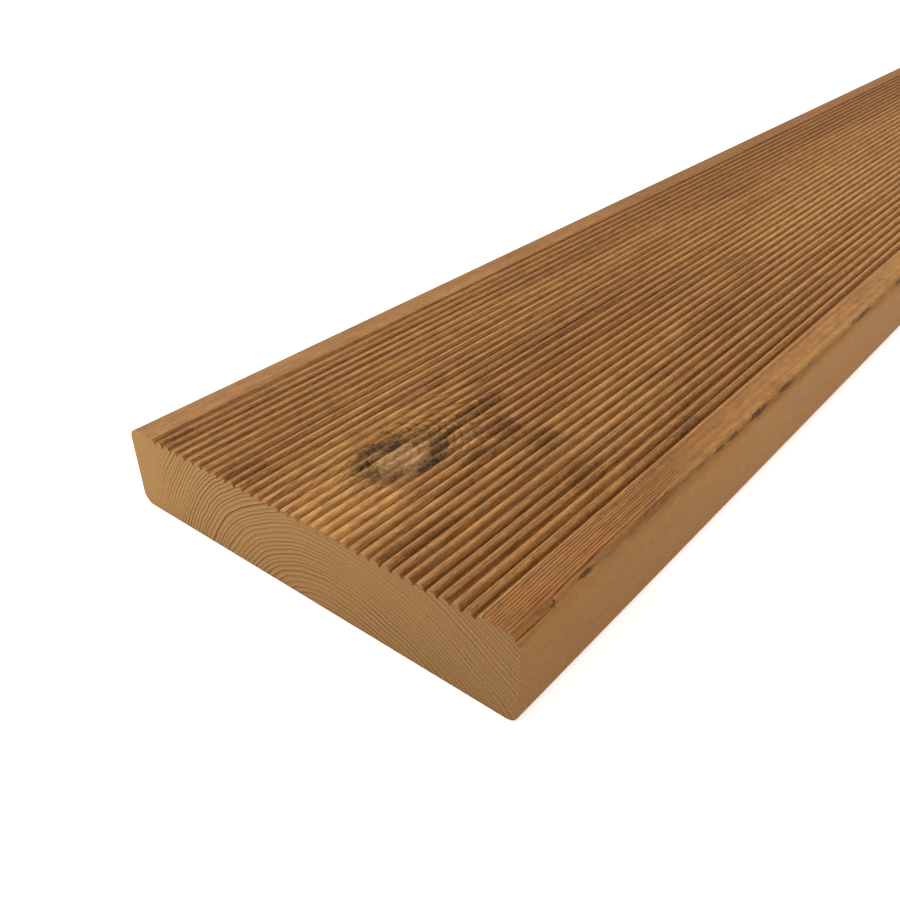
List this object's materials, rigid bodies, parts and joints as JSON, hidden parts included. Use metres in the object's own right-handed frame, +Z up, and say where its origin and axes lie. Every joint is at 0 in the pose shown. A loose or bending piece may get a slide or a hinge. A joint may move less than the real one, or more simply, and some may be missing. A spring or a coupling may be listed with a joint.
{
  "type": "ribbed decking board",
  "caption": "Long planed softwood decking board with a finely ribbed walking face, plain margins, rounded long edges and square-sawn ends.",
  "frame": {"origin": "middle of the underside, at the bottom centre of the board's box", "axes": "+Y along the length, away from the chipped end that the picture shows; +X across the width, towards the edge with the chip; +Z up, out of the ribbed walking face"},
  "size_m": [0.14, 2.4, 0.026],
  "materials": {
    "thermowood_pine": "planed and finely ribbed, unoiled, matt"
  },
  "bodies": {
    "root": {"decking_board": "thermowood_pine"}
  },
  "joints": []
}
